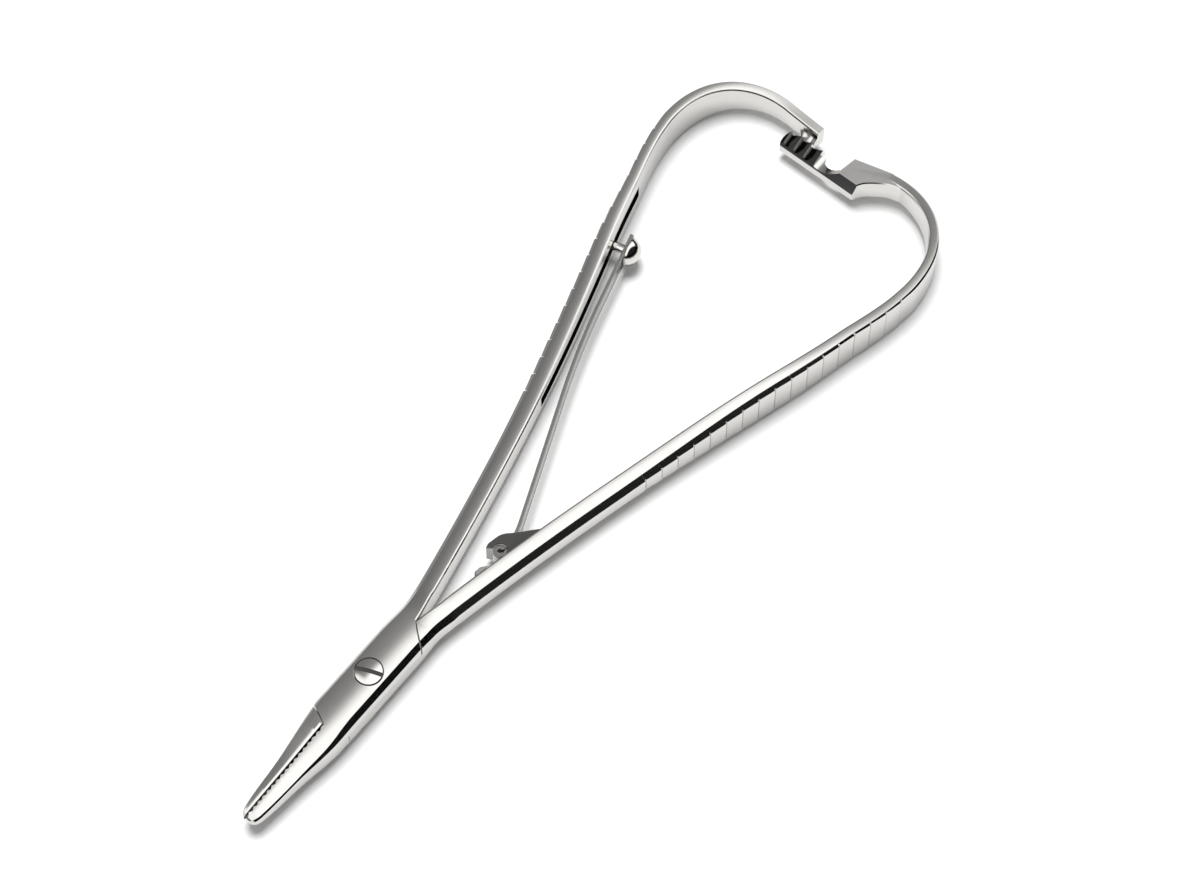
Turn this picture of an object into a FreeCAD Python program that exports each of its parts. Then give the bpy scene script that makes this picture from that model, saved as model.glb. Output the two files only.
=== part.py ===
"""Surgical needle holder: two crossing levers on a slotted screw, curled bow handles,
an end ratchet, serrated jaws and a leaf spring whose button runs in one handle.

Everything is drawn from the pivot: x along the centre line towards the ratchet, y towards
the handle of the upper lever, z up from the resting plane. Millimetres and degrees. The
finished pieces are moved by middle_x, so their origin lies under the middle of the whole.
"""
import FreeCAD, Part
import math
import os
from FreeCAD import Vector

doc = FreeCAD.newDocument("needle_holder")

# Driving sizes. Stations along a handle are path lengths from its neck.
SIZES = [
    # overall heights of the forged section
    ("handle_depth", 10.0),
    ("flat_allowance", 0.04),
    ("joint_depth", 7.4),
    ("shank_depth", 5.6),
    ("curl_depth", 5.3),
    ("end_depth", 4.8),
    # handle: a chain of arcs from the neck to the end of the curl
    ("neck_x", 19.0),
    ("neck_y", 3.05),
    ("neck_heading", 11.2),
    ("flare_length", 72.7),
    ("flare_turn", 6.1),
    ("shoulder_length", 29.3),
    ("shoulder_turn", -7.3),
    ("curl_radius", 15.4),
    ("curl_turn", -103.0),
    ("tail_length", 7.0),
    # handle: how far it swells outwards before, at and after the start of the curl
    ("shoulder_swell", 0.42),
    ("dip_swell", 0.05),
    ("curl_swell", 0.5),
    ("swell_reach", 10.0),
    # handle: in-plane thickness and edge bevel
    ("shank_thickness", 3.9),
    ("grip_thickness", 2.95),
    ("shoulder_thickness", 2.3),
    ("shoulder_setback", 12.0),
    ("curl_thickness", 1.95),
    ("shank_bevel", 1.2),
    ("grip_bevel", 0.8),
    ("curl_bevel", 0.35),
    ("shank_bevel_drop", 0.85),
    ("grip_bevel_drop", 0.55),
    ("curl_bevel_drop", 0.3),
    ("inner_bevel", 0.27),
    ("shank_end", 36.0),
    ("grip_full", 74.0),
    # joint
    ("joint_half_width", 4.05),
    ("joint_half_length", 8.0),
    ("arm_start", 1.5),
    ("shoulder_end", 13.5),
    ("arm_swell", 0.35),
    ("arm_root_y", -1.9),
    ("joint_bevel", 1.0),
    ("joint_bevel_drop", 1.0),
    ("lap_gap", 0.06),
    ("step_gap", 0.3),
    ("front_step_centre", 12.3),
    ("front_step_middle", 11.15),
    ("front_step_side", 10.2),
    ("rear_step_centre", 12.7),
    ("rear_step_middle", 10.55),
    ("rear_step_side", 7.9),
    # jaws
    ("jaw_length", 33.2),
    ("jaw_middle", 22.0),
    ("jaw_root_left", 3.4),
    ("jaw_root_right", 4.1),
    ("jaw_middle_left", 2.05),
    ("jaw_middle_right", 3.1),
    ("jaw_tip_left", 1.25),
    ("jaw_tip_right", 2.35),
    ("jaw_root_depth", 6.7),
    ("jaw_middle_depth", 4.4),
    ("jaw_tip_depth", 2.8),
    ("jaw_nose_length", 2.0),
    ("jaw_bevel", 0.45),
    ("tooth_pitch", 1.2),
    ("tooth_height", 0.42),
    ("bite_gap", 0.08),
    ("bite_chamfer", 0.35),
    # grip grooves
    ("grip_groove_pitch", 3.61),
    ("grip_groove_depth", 0.22),
    ("grip_groove_run", 0.25),
    ("grip_groove_first", 41.9),
    ("grip_groove_beyond", 0.5),
    # pivot screw
    ("screw_head_diameter", 5.2),
    ("screw_head_height", 1.5),
    ("screw_head_dome", 0.4),
    ("screw_head_fit", 0.08),
    ("screw_shank_diameter", 3.6),
    ("screw_running_fit", 0.04),
    ("screw_thread_diameter", 3.0),
    ("screw_thread_fit", 0.02),
    ("screw_slot_width", 0.8),
    ("screw_slot_depth", 0.8),
    ("screw_slot_angle", -67.0),
    # ratchet bar and its pawl
    ("bar_bottom_z", 2.4),
    ("bar_top_z", 7.6),
    ("bar_inner_inset", 6.14),
    ("bar_outer_inset", 3.24),
    ("bar_tip_y", 10.0),
    ("bar_tip_drop", 1.9),
    ("bar_rim_z", 4.5),
    ("bar_chamfer", 0.7),
    ("bar_neck_inset", 4.74),
    ("notch_y", -2.9),
    ("block_corner_inset", 1.04),
    ("block_corner_y", -3.5),
    ("block_inner_y", -6.9),
    ("block_root_y", -11.0),
    ("saddle_y", 0.2),
    ("saddle_z", 4.9),
    ("saddle_radius", 7.0),
    ("ratchet_end_y", 2.2),
    ("ratchet_pitch", 2.3),
    ("ratchet_teeth", 4.0),
    ("ratchet_crest_z", 7.1),
    ("ratchet_depth", 1.4),
    ("ratchet_fall", 1.5),
    ("ratchet_rim_depth", 0.6),
    ("pawl_gap", 0.4),
    ("pawl_width", 2.4),
    ("pawl_fade", 1.8),
    ("pawl_tip_z", 4.6),
    ("pawl_root_z", 6.6),
    ("pawl_tip_height", 0.7),
    # leaf spring, its claw and its button
    ("eye_x", 32.6),
    ("eye_y", -2.7),
    ("eye_radius", 1.25),
    ("leaf_thickness", 0.7),
    ("leaf_width", 3.6),
    ("leaf_heading", 12.0),
    ("leaf_foot_length", 3.0),
    ("leaf_bend_length", 4.0),
    ("leaf_bend_turn", 10.6),
    ("leaf_straight_length", 26.0),
    ("leaf_bow_length", 21.0),
    ("leaf_bow_turn", -7.0),
    ("leaf_end_length", 14.0),
    ("claw_clearance", 0.12),
    ("claw_slot_clearance", 0.15),
    ("claw_wall", 1.2),
    ("claw_drop", 0.1),
    ("claw_tip_angle", 118.0),
    ("claw_back_x", 37.3),
    ("claw_back_y", -3.0),
    ("claw_foot_x", 40.5),
    ("lip_start_x", 25.4),
    ("lip_end_x", 30.4),
    ("lip_top_y", -1.75),
    ("lip_depth", 4.0),
    ("button_setback", 2.6),
    ("button_diameter", 5.3),
    ("button_height", 2.0),
    ("button_rim", 0.4),
    ("button_neck_diameter", 1.8),
    ("button_slide_diameter", 2.6),
    ("button_slide_height", 0.6),
    ("button_slide_lift", 3.0),
    ("groove_width", 3.4),
    ("groove_depth", 1.35),
    ("groove_start", 42.0),
    ("groove_setback", 13.0),
    # the row frame's origin lies under the middle of the length
    ("middle_x", 51.9),
    # motion
    ("opening", 20.0),
    ("spring_ratio", 1.43),
]

sheet = doc.addObject("Spreadsheet::Sheet", "sizes")
for line, (alias, value) in enumerate(SIZES, 1):
    sheet.set(f"A{line}", alias)
    sheet.set(f"B{line}", str(value))
    sheet.setAlias(f"B{line}", alias)
doc.recompute()


def size(alias):
    return float(sheet.get(alias))


middle = size("handle_depth") / 2
reach = 400.0
UP = Vector(0, 0, 1)


def feature(name, shape):
    """Puts a worked-out shape into the document under its own name."""
    item = doc.addObject("Part::Feature", name)
    item.Label = name
    item.Shape = shape
    return item


def boolean(kind, name, base, tool):
    """Part::Cut, Part::Fuse or Part::Common of two objects of the document."""
    item = doc.addObject(kind, name)
    item.Label = name
    item.Base = base
    item.Tool = tool
    return item


def graded(stations, place):
    """Value at a place between (place, value) stations, joined without overshoot."""
    if place <= stations[0][0]:
        return stations[0][1]
    if place >= stations[-1][0]:
        return stations[-1][1]
    grades = [(b[1] - a[1]) / (b[0] - a[0]) for a, b in zip(stations, stations[1:])]
    slopes = [grades[0]]
    for low, high in zip(grades, grades[1:]):
        slopes.append(2 * low * high / (low + high) if low * high > 0 else 0.0)
    slopes.append(grades[-1])
    number = next(k for k in range(len(grades)) if place <= stations[k + 1][0])
    (start, low), (end, high) = stations[number:number + 2]
    run = end - start
    t = (place - start) / run
    return ((1 + 2 * t) * (1 - t) ** 2 * low + t * (1 - t) ** 2 * run * slopes[number]
            + t * t * (3 - 2 * t) * high + t * t * (t - 1) * run * slopes[number + 1])


def spread(first, last, pitch):
    """Evenly spaced places from first to last, no further apart than the pitch."""
    count = max(1, math.ceil(abs(last - first) / pitch))
    return [first + (last - first) * k / count for k in range(count + 1)]


class Trace:
    """A plane path of straight and round legs, each a (length, turn in degrees)."""

    def __init__(self, start, heading, legs):
        self.legs = legs
        self.start = start
        self.heading = math.radians(heading)
        self.length = sum(length for length, turn in legs)

    def at(self, place, offset=0.0):
        """Point at a path length, moved to the left by offset, and the heading there."""
        point, heading, left = self.start, self.heading, place
        for number, (length, turn) in enumerate(self.legs):
            last = number == len(self.legs) - 1
            run = left if last else min(left, length)
            bend = math.radians(turn) * run / length
            if abs(bend) > 1e-9:
                radius = run / bend
                step = Vector(math.sin(heading + bend) - math.sin(heading),
                              math.cos(heading) - math.cos(heading + bend), 0) * radius
            else:
                step = Vector(math.cos(heading), math.sin(heading), 0) * run
            point, heading, left = point + step, heading + bend, left - run
            if left <= 1e-9:
                break
        return point + Vector(-math.sin(heading), math.cos(heading), 0) * offset, heading

    def side(self, first, last, offset):
        """Edges of the path moved to the left by offset, between two path lengths."""
        ends = [first]
        total = 0.0
        for length, turn in self.legs[:-1]:
            total += length
            if first < total < last:
                ends.append(total)
        ends.append(last)
        edges = []
        for low, high in zip(ends, ends[1:]):
            a, m, b = (self.at(place, offset)[0] for place in (low, (low + high) / 2, high))
            straight = abs((m - a).cross(b - a).z) < 1e-7
            edges.append(Part.LineSegment(a, b).toShape() if straight else Part.Arc(a, m, b).toShape())
        return edges

    def ribbon(self, first, last, right, left):
        """Face between two offsets of the path."""
        lower = self.side(first, last, right)
        upper = self.side(first, last, left)
        start = Part.LineSegment(self.at(first, left)[0], self.at(first, right)[0]).toShape()
        end = Part.LineSegment(self.at(last, right)[0], self.at(last, left)[0]).toShape()
        return Part.Face(Part.Wire(Part.sortEdges(lower + [end] + upper + [start])[0]))


def prism(face, low, high):
    """Solid of a plan face between two heights."""
    solid = face.extrude(Vector(0, 0, high - low))
    solid.translate(Vector(0, 0, low))
    return solid


def plan_face(points):
    """Face with straight sides through plan points."""
    corners = [Vector(x, y, 0) for x, y in points]
    return Part.Face(Part.makePolygon(corners + corners[:1]))


def bar_section(point, heading, right, left, depth, right_break, left_break):
    """Upright eight-sided section of a forged bar. A break is the (width, drop) of a bevel."""
    across = Vector(-math.sin(heading), math.cos(heading), 0)
    half = depth / 2
    (r_width, r_drop), (l_width, l_drop) = right_break, left_break
    outline = [(left, half - l_drop), (left - l_width, half), (right + r_width, half), (right, half - r_drop),
               (right, r_drop - half), (right + r_width, -half), (left - l_width, -half), (left, l_drop - half)]
    corners = [point + across * a + UP * (middle + z) for a, z in outline]
    return Part.makePolygon(corners + corners[:1])


class HandleTrace(Trace):
    """Path of a handle, which swells outwards a little before and after the curl's start."""

    def swell(self, place):
        run = size("swell_reach")
        return graded([(curl_start - 1.4 * run, 0.0), (curl_start - 0.4 * run, size("shoulder_swell")),
                       (curl_start + 0.4 * run, size("dip_swell")), (curl_start + 1.6 * run, size("curl_swell")),
                       (curl_end, 0.0)], place)

    def at(self, place, offset=0.0):
        point, heading = super().at(place)
        point += Vector(-math.sin(heading), math.cos(heading), 0) * self.swell(place)
        step = 0.05
        heading += math.atan((self.swell(place + step) - self.swell(place - step)) / (2 * step))
        return point + Vector(-math.sin(heading), math.cos(heading), 0) * offset, heading


# Handle of the upper lever, on the +Y side. The other handle is its mirror image.
handle = HandleTrace(Vector(size("neck_x"), size("neck_y"), 0), size("neck_heading"), [
    (size("flare_length"), size("flare_turn")),
    (size("shoulder_length"), size("shoulder_turn")),
    (size("curl_radius") * math.radians(-size("curl_turn")), size("curl_turn")),
    (size("tail_length"), 0.0),
])
curl_start = size("flare_length") + size("shoulder_length")
curl_end = curl_start + size("curl_radius") * math.radians(-size("curl_turn"))
curl_middle = (curl_start + curl_end) / 2


def from_end(name):
    """Distance of a place on the ratchet bar from the pivot, given from the end of the curl."""
    return handle.at(curl_end)[0].x - size(name + "_inset")


def handle_thickness(place):
    return graded([(0, size("shank_thickness")), (size("shank_end"), size("shank_thickness") - 0.1),
                   (size("grip_full"), size("grip_thickness")),
                   (curl_start - size("shoulder_setback"), size("shoulder_thickness")),
                   (curl_middle, size("curl_thickness")), (handle.length, size("curl_thickness"))], place)


def handle_height(place):
    full = size("handle_depth") + size("flat_allowance")
    return graded([(0, size("shank_depth")), (size("shank_end"), size("shank_depth")),
                   (size("grip_full"), full), (curl_start, full),
                   (curl_end, size("curl_depth")), (handle.length, size("end_depth"))], place)


def outer_break(place):
    """Width and drop of the bevel along a handle's outer edges."""
    def along(name):
        return graded([(0, size("shank" + name)), (size("shank_end"), size("shank" + name)),
                       (size("grip_full"), size("grip" + name)), (curl_start, size("curl" + name)),
                       (handle.length, size("curl" + name))], place)
    return along("_bevel"), along("_bevel_drop")


def inner_break():
    return size("inner_bevel"), size("inner_bevel")


def nose_depth(x):
    """Height of the closed pair of levers over the jaws, the joint and the neck."""
    return graded([(-size("jaw_length"), size("jaw_tip_depth") - 1.0),
                   (-size("jaw_length") + size("jaw_nose_length"), size("jaw_tip_depth")),
                   (-size("jaw_middle"), size("jaw_middle_depth")),
                   (-size("front_step_centre"), size("jaw_root_depth")),
                   (-size("joint_half_length"), size("joint_depth")),
                   (size("joint_half_length"), size("joint_depth")),
                   (size("shoulder_end"), size("shank_depth") + 0.3), (size("neck_x"), size("shank_depth"))], x)


def nose_drop(x):
    """Height of the bevel along the top and bottom edges."""
    return graded([(-size("front_step_centre") - 4, size("jaw_bevel")),
                   (-size("joint_half_length"), size("joint_bevel_drop")),
                   (size("joint_half_length"), size("joint_bevel_drop")),
                   (size("neck_x"), size("shank_bevel_drop"))], x)


def nose_bevel(x):
    """Plan width of the same bevel."""
    return graded([(-size("front_step_centre") - 4, size("jaw_bevel")),
                   (-size("joint_half_length"), size("joint_bevel")),
                   (size("joint_half_length"), size("joint_bevel")),
                   (size("neck_x"), size("shank_bevel"))], x)


def jaw_side(x, root, halfway, tip):
    """Half width of the closed pair on one side of the centre line."""
    return graded([(-size("jaw_length"), tip - 1.1), (-size("jaw_length") + 0.6, tip - 0.45),
                   (-size("jaw_length") + size("jaw_nose_length"), tip), (-size("jaw_middle"), halfway),
                   (-size("front_step_centre"), root), (-size("joint_half_length"), size("joint_half_width")),
                   (size("neck_x"), size("joint_half_width"))], x)


def make_nose():
    """Loft of the closed pair from the rear of the joint to the rounded tip."""
    nose = -size("jaw_length") + size("jaw_nose_length")
    places = spread(size("rear_step_centre") + 0.4, -size("front_step_centre"), 2.1)
    places += spread(-size("front_step_centre"), nose, 2.6)[1:] + spread(nose, -size("jaw_length"), 0.7)[1:]
    wires = []
    for x in places:
        left = jaw_side(x, size("jaw_root_left"), size("jaw_middle_left"), size("jaw_tip_left"))
        right = jaw_side(x, size("jaw_root_right"), size("jaw_middle_right"), size("jaw_tip_right"))
        edge = min(nose_bevel(x), 0.3 * (left + right)), nose_drop(x)
        wires.append(bar_section(Vector(x, 0, 0), 0.0, -right, left, nose_depth(x), edge, edge))
    return Part.makeLoft(wires, True, False)


def make_handle():
    """Loft of bar sections from inside the joint, round the curl, to the end."""
    outer = size("joint_half_width")
    neck_inner, neck_outer = (handle.at(0, side * size("shank_thickness") / 2)[0].y for side in (-1, 1))
    wires = []
    for x in spread(size("arm_start"), size("neck_x"), 3.5)[:-1]:
        share = (x - size("arm_start")) / (size("neck_x") - size("arm_start"))
        inner_y = graded([(size("arm_start"), size("arm_root_y")), (size("shoulder_end"), 0.0),
                          (size("neck_x"), neck_inner)], x)
        outer_y = graded([(size("arm_start"), outer), (size("joint_half_length"), outer),
                          (size("shoulder_end"), outer + size("arm_swell")), (size("neck_x"), neck_outer)], x)
        heading = math.radians(size("neck_heading")) * share * share
        wires.append(bar_section(Vector(x, 0, 0), heading, inner_y, outer_y, nose_depth(x), inner_break(),
                                 (nose_bevel(x), nose_drop(x))))
    places = spread(0, curl_start, 5.2) + spread(curl_start, curl_end, 3.5)[1:]
    places += spread(curl_end, handle.length, 4.5)[1:]
    for place in places:
        point, heading = handle.at(place)
        half = handle_thickness(place) / 2
        wires.append(bar_section(point, heading, -half, half, handle_height(place), inner_break(),
                                 outer_break(place)))
    slab = Part.makeBox(reach, reach, size("handle_depth"), Vector(-reach / 2, -reach / 2, 0))
    return Part.makeLoft(wires, True, False).common(slab)


def bite_line(gap):
    """Zigzag of the jaw teeth from beyond the tip to the front step."""
    pitch = size("tooth_pitch")
    height = size("tooth_height") / 2
    start = -size("front_step_centre")
    count = math.ceil((size("jaw_length") - size("front_step_centre")) / pitch) + 2
    points = []
    for number in range(count, 0, -1):
        points.append((start - number * pitch, gap - height))
        points.append((start - (number - 0.5) * pitch, gap + height))
    return points


def lap_region(side, grow=0.0):
    """Plan of everything that one lever owns in its own layer. side is +1 for the upper
    lever and -1 for the lower one, and grow moves both steps away from the pivot."""
    far = reach
    wide = reach / 4
    gap = -side * size("bite_gap") / 2
    parting = side * size("step_gap") / 2
    front = [(-size("front_step_centre") - grow, gap), (-size("front_step_middle") - grow, side * 1.75),
             (-size("front_step_side") - grow, side * 4.8)]
    rear = [(size("rear_step_centre") + grow, parting), (size("rear_step_middle") + grow, -side * 2.2),
            (size("rear_step_side") + grow, -side * 6.2)]
    bite = [Vector(x, y, 0) for x, y in bite_line(gap)]
    front = [Vector(x, y, 0) for x, y in front]
    rear = [Vector(x, y, 0) for x, y in rear]
    border = [Vector(-far, bite[0].y, 0)] + [point for point in bite if point.x < front[0].x - 0.1]
    border.append(front[0])
    edges = Part.makePolygon(border).Edges
    edges.append(Part.Arc(*front).toShape())
    edges += Part.makePolygon([front[2], Vector(front[2].x, side * wide, 0), Vector(far, side * wide, 0),
                               Vector(far, parting, 0), rear[0]]).Edges
    edges.append(Part.Arc(*rear).toShape())
    edges += Part.makePolygon([rear[2], Vector(rear[2].x, -side * wide, 0), Vector(-far, -side * wide, 0),
                               border[0]]).Edges
    return Part.Face(Part.Wire(edges))


def bite_bevel(up):
    """V-shaped bar that breaks the top or bottom edges of the bite."""
    cut = size("bite_chamfer")
    wires = []
    for x in spread(-size("front_step_centre") - size("step_gap"), -size("jaw_length") - 1, 3.0):
        level = middle + up * (nose_depth(x) / 2 - cut)
        spare = 3.0
        corners = [Vector(x, 0, level), Vector(x, cut + spare, level + up * (cut + spare)),
                   Vector(x, -cut - spare, level + up * (cut + spare))]
        wires.append(Part.makePolygon(corners + corners[:1]))
    return Part.makeLoft(wires, True, False)


def grip_grooves():
    """Saw-edged plan strip that cuts the row of grooves into the outer face."""
    pitch = size("grip_groove_pitch")
    outline = []
    place = size("grip_groove_first")
    while place < curl_start + size("grip_groove_beyond"):
        half = handle_thickness(place) / 2
        outline.append(handle.at(place, half)[0])
        outline.append(handle.at(place + size("grip_groove_run"), half - size("grip_groove_depth"))[0])
        place += pitch
    outline.append(handle.at(place, handle_thickness(place) / 2)[0])
    outer = [handle.at(p, handle_thickness(p) / 2 + 1.0)[0]
             for p in reversed(spread(size("grip_groove_first"), place, 4.0))]
    corners = outline + outer
    return prism(Part.Face(Part.makePolygon(corners + corners[:1])), -1, size("handle_depth") + 1)


def guide_groove():
    """Slot for the button in the inner face of the upper lever's handle."""
    places = spread(size("groove_start"), curl_start - size("groove_setback"), 4.0)
    floor = [handle.at(p, size("groove_depth") - handle_thickness(p) / 2)[0] for p in places]
    open_side = [handle.at(p, -handle_thickness(p) / 2 - 1.0)[0] for p in reversed(places)]
    corners = floor + open_side
    half = size("groove_width") / 2
    return prism(Part.Face(Part.makePolygon(corners + corners[:1])), middle - half, middle + half)


leaf_radius = size("eye_radius") - size("leaf_thickness") / 2
leaf_angle = math.radians(size("leaf_heading"))
eye = Vector(size("eye_x"), size("eye_y"), 0)
leaf = Trace(eye + Vector(math.sin(leaf_angle), -math.cos(leaf_angle), 0) * leaf_radius, size("leaf_heading"), [
    (size("leaf_foot_length"), 0.0),
    (size("leaf_bend_length"), size("leaf_bend_turn")),
    (size("leaf_straight_length"), 0.0),
    (size("leaf_bow_length"), size("leaf_bow_turn")),
    (size("leaf_end_length"), 0.0),
])


def make_claw():
    """Hooked lug on the lower lever that holds the rolled eye, slotted for the leaf."""
    seat = size("eye_radius") + size("claw_clearance")
    crown = seat + size("claw_wall")
    tip = math.radians(size("claw_tip_angle"))
    along = Vector(math.cos(tip), math.sin(tip), 0)
    top = eye + Vector(0, crown, 0)
    halfway = eye + Vector(math.cos((tip + math.pi / 2) / 2), math.sin((tip + math.pi / 2) / 2), 0) * crown
    back = Vector(size("claw_back_x"), size("claw_back_y"), 0)
    foot = Vector(size("claw_foot_x"), -handle_inner_y(size("claw_foot_x")) - 0.2, 0)
    shoulder = Part.BSplineCurve()
    shoulder.interpolate([top, Vector(eye.x + 2.6, top.y - 0.75, 0), back, foot],
                         InitialTangent=Vector(1, 0, 0), FinalTangent=Vector(1, -0.25, 0))
    mouth = eye + along * seat
    root = Vector(eye.x - seat, -handle_inner_y(eye.x - seat) - 0.6, 0)
    edges = [Part.Arc(eye + along * crown, halfway, top).toShape(), shoulder.toShape()]
    edges += Part.makePolygon([foot, Vector(foot.x, foot.y - 1.5, 0), Vector(root.x, root.y - 1.5, 0), root,
                               Vector(eye.x - 0.4, eye.y, 0), mouth, eye + along * crown]).Edges
    half = size("shank_depth") / 2 - size("claw_drop")
    return prism(Part.Face(Part.Wire(edges)), middle - half, middle + half)


def handle_inner_y(x):
    """Distance of a handle's inner face from the centre line."""
    return size("neck_y") - size("shank_thickness") / 2 + (x - size("neck_x")) * math.tan(
        math.radians(size("neck_heading") + 1.0))


def claw_space():
    """Room in the claw and the arm beside it for the eye and for the swing of the leaf."""
    seat = size("eye_radius") + size("claw_clearance")
    round_seat = Part.makeCylinder(seat, size("handle_depth") * 2, eye - UP * size("handle_depth"))
    slack = size("leaf_thickness") / 2 + size("claw_slot_clearance")
    swing = size("opening") * size("spring_ratio") + 2.0
    places = (0.0, size("leaf_foot_length"), size("leaf_foot_length") + size("leaf_bend_length"), 11.0)
    lower = [leaf.at(p, -slack)[0] for p in places]
    upper = [FreeCAD.Rotation(UP, swing).multVec(leaf.at(p, slack)[0] - eye) + eye for p in reversed(places)]
    corners = [eye] + lower + upper
    half = size("leaf_width") / 2 + size("claw_slot_clearance")
    slot = prism(Part.Face(Part.makePolygon(corners + corners[:1])), middle - half, middle + half)
    return round_seat.fuse(slot)


def make_lip():
    """Low rest for the leaf on the inner edge of the lower lever."""
    start, end, top = size("lip_start_x"), size("lip_end_x"), size("lip_top_y")
    half = size("lip_depth") / 2
    outline = [(start, -handle_inner_y(start) - 0.3), (start + 1.3, top), (start + 2.6, top - 0.15),
               (end, -handle_inner_y(end) - 0.3), (end, top - 2.6), (start, top - 2.2)]
    return prism(plan_face(outline), middle - half, middle + half)


def make_bar():
    """Ratchet bar and block at the end of the lower lever, before its teeth are cut."""
    inner, outer = from_end("bar_inner"), from_end("bar_outer")
    neck, notch = from_end("bar_neck"), size("notch_y")
    end = size("ratchet_end_y")
    tip = [Vector(inner, size("bar_tip_y"), 0), Vector(outer - 0.6, size("bar_tip_y") - 0.35, 0),
           Vector(outer, size("bar_tip_y") - size("bar_tip_drop"), 0)]
    hollow = [Vector(outer - 1.0, end - 1.3, 0), Vector(neck, (end + notch) / 2 - 0.4, 0),
              Vector(neck + 0.3, notch, 0)]
    corner = Vector(from_end("block_corner"), size("block_corner_y"), 0)
    strap_outer = handle_end(size("block_root_y"), 1)
    strap_inner = handle_end(size("block_root_y") - 3.0, -1)
    inside = handle_end(size("block_root_y") - 3.0, 0)
    flare = Part.BSplineCurve()
    flare.interpolate([strap_inner, Vector(strap_inner.x - 0.9, size("block_root_y") - 0.4, 0),
                       Vector(inner + 2.1, size("block_inner_y") - 1.4, 0),
                       Vector(inner, size("block_inner_y"), 0)])
    edges = [Part.Arc(*tip).toShape(), Part.Arc(*hollow).toShape(), flare.toShape()]
    edges += Part.makePolygon([tip[2], Vector(outer, end - 0.9, 0), hollow[0]]).Edges
    edges += Part.makePolygon([hollow[2], corner, strap_outer, inside, strap_inner]).Edges
    edges += Part.makePolygon([Vector(inner, size("block_inner_y"), 0), tip[0]]).Edges
    face = Part.Face(Part.Wire(Part.sortEdges(edges)[0]))
    return prism(face, size("bar_bottom_z"), size("bar_top_z"))


def handle_end(y, side):
    """Point on the lower lever's strap near its end: side 1 outer, -1 inner, 0 between."""
    place = curl_end + (handle.at(curl_end)[0].y + y)
    point = handle.at(place, side * handle_thickness(place) / 2)[0]
    return Vector(point.x, -point.y, 0)


def bar_cuts():
    """Saddle, rim slope and saw teeth of the ratchet bar."""
    inner, outer = from_end("bar_inner") - 1, from_end("block_corner") + 1
    end, pitch = size("ratchet_end_y"), size("ratchet_pitch")
    saddle = Part.makeCylinder(size("saddle_radius"), outer - inner, Vector(
        inner, size("saddle_y"), size("saddle_z") + size("saddle_radius")), Vector(1, 0, 0))
    saddle = saddle.cut(Part.makeBox(20, 20, 30, Vector(inner - 5, end, 0)))
    rim_run = size("bar_chamfer") / (size("bar_top_z") - size("bar_rim_z"))
    rim = [Vector(from_end("bar_inner"), -20, size("bar_rim_z")),
           Vector(from_end("bar_inner") + rim_run * 4.5, -20, size("bar_rim_z") + 4.5),
           Vector(inner, -20, size("bar_rim_z") + 4.5), Vector(inner, -20, size("bar_rim_z"))]
    slope = Part.Face(Part.makePolygon(rim + rim[:1])).extrude(Vector(0, 40, 0))
    saws = []
    width = from_end("bar_outer") - from_end("bar_inner")
    for x in (from_end("bar_inner") - 1, from_end("bar_outer") + 1):
        share = (x - from_end("bar_inner")) / width
        crest = size("ratchet_crest_z") - size("ratchet_fall") * (1 - share)
        depth = size("ratchet_rim_depth") + (size("ratchet_depth") - size("ratchet_rim_depth")) * share
        outline = [Vector(x, end, crest)]
        for tooth in range(1, int(size("ratchet_teeth"))):
            outline.append(Vector(x, end + tooth * pitch, crest - depth))
            outline.append(Vector(x, end + tooth * pitch + 0.1, crest))
        outline.append(Vector(x, end + size("ratchet_teeth") * pitch, crest - depth))
        outline.append(Vector(x, end + size("ratchet_teeth") * pitch, 12))
        outline.append(Vector(x, end, 12))
        saws.append(Part.makePolygon(outline + outline[:1]))
    return [saddle, slope, Part.makeLoft(saws, True, True)]


def make_pawl():
    """Hook at the end of the upper lever, fading into the strap."""
    end, heading = handle.at(handle.length)
    inner = handle.at(handle.length, -handle_thickness(handle.length) / 2)[0]
    crest = math.hypot(from_end("bar_outer"), size("bar_tip_y") - size("bar_tip_drop"))
    tip_x = math.sqrt((crest + size("pawl_gap")) ** 2 - inner.y ** 2)
    half = size("end_depth") / 2
    root = end.x
    sections = []
    for y, share in ((inner.y, 1.0), (inner.y + size("pawl_width"), 1.0),
                     (inner.y + size("pawl_width") + size("pawl_fade"), 0.0)):
        x = inner.x - 0.05 + (tip_x - inner.x) * share
        low = size("pawl_tip_z") - size("pawl_tip_height") / 2
        corners = [Vector(root, y, middle - half + 0.3), Vector(x + 0.25 * (root - x), y, low - 0.9 * share),
                   Vector(x, y, low), Vector(x, y, low + size("pawl_tip_height")),
                   Vector(root - 0.6, y, size("pawl_root_z")), Vector(root, y, middle + half - 0.3)]
        sections.append(Part.makePolygon(corners + corners[:1]))
    return Part.makeLoft(sections, True, True)


def mirror_y(shape):
    return shape.mirror(Vector(0, 0, 0), Vector(0, 1, 0))


def layer(region, upper):
    """Prism of a plan region over one half of the joint, short of the lap face."""
    gap = size("lap_gap") / 2
    return prism(region, middle - gap, reach) if upper else prism(region, -reach, middle + gap)


nose_blank = feature("nose_blank", make_nose())
handle_blank = feature("handle_blank", make_handle())

# Upper lever: right jaw, upper half of the joint and the +Y handle.
upper_outline = feature("upper_outline", prism(lap_region(1), -reach, reach))
upper_pocket = feature("upper_pocket", layer(lap_region(-1, size("step_gap")), False))
upper_stock = boolean("Part::Fuse", "upper_stock", nose_blank, handle_blank)
upper_owned = boolean("Part::Common", "upper_owned", upper_stock, upper_outline)
upper_lapped = boolean("Part::Cut", "upper_lapped", upper_owned, upper_pocket)

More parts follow.
